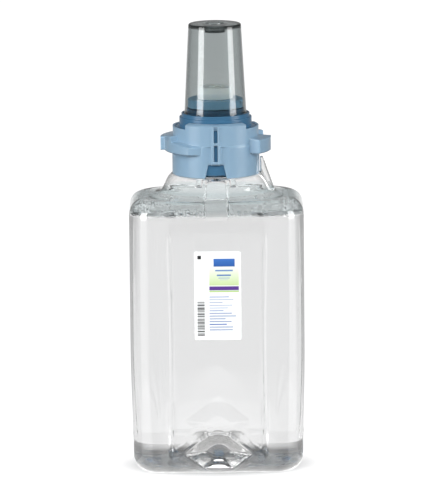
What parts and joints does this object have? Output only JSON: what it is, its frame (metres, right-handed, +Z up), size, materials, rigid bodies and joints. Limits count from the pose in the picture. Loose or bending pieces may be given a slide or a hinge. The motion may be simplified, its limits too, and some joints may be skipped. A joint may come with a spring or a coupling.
{
  "type": "hand sanitizer refill",
  "caption": "Clear collapsible bottle of foam hand sanitizer with a blue bayonet collar, a spring-return foam pump and a smoked pull-off dust cap, made to hang upside down in a wall dispenser.",
  "frame": {"origin": "middle of the foot, on the surface that the refill stands on", "axes": "+Z up along the neck, -Y towards the labelled front, +X to the right seen from the front"},
  "size_m": [0.11, 0.075, 0.282],
  "materials": {
    "clear_pet": "clear blown bottle wall",
    "sanitizer": "clear colourless liquid",
    "label_film": "white printed film",
    "pale_blue_plastic": "moulded pale blue, satin",
    "foam_gasket": "white foam washer",
    "deep_blue_plastic": "moulded deep blue, satin",
    "silicone": "translucent elastomer",
    "spring_steel": "drawn wire",
    "natural_plastic": "natural, uncoloured",
    "mesh_nylon": "woven mesh",
    "smoked_plastic": "clear smoke grey"
  },
  "bodies": {
    "refill": {"bottle": "clear_pet", "sanitizer_liquid": "sanitizer", "front_label": "label_film", "snap_collar": "pale_blue_plastic", "neck_gasket": "foam_gasket", "pump_housing": "deep_blue_plastic", "inlet_valve": "silicone", "piston_retainer": "deep_blue_plastic", "return_spring": "spring_steel"},
    "plunger": {"piston": "deep_blue_plastic", "air_piston_seal": "silicone", "liquid_piston_seal": "silicone", "air_intake_flap": "silicone", "liquid_outlet_valve": "silicone", "mesh_cartridge": "natural_plastic", "coarse_mesh": "mesh_nylon", "fine_mesh": "mesh_nylon", "outlet_nozzle": "natural_plastic"},
    "cap": {"dust_cap": "smoked_plastic"}
  },
  "joints": [
    {"name": "piston_stroke", "type": "slide", "parent": "refill", "child": "plunger", "axis": [0, 0, 1], "range_m": [-0.008, 0], "stiffness_N_per_m": 400, "springref_m": 0.01, "deforming": ["return_spring"]},
    {"name": "cap_lift", "type": "slide", "parent": "refill", "child": "cap", "axis": [0, 0, 1], "range_m": [0, 0.04]}
  ]
}
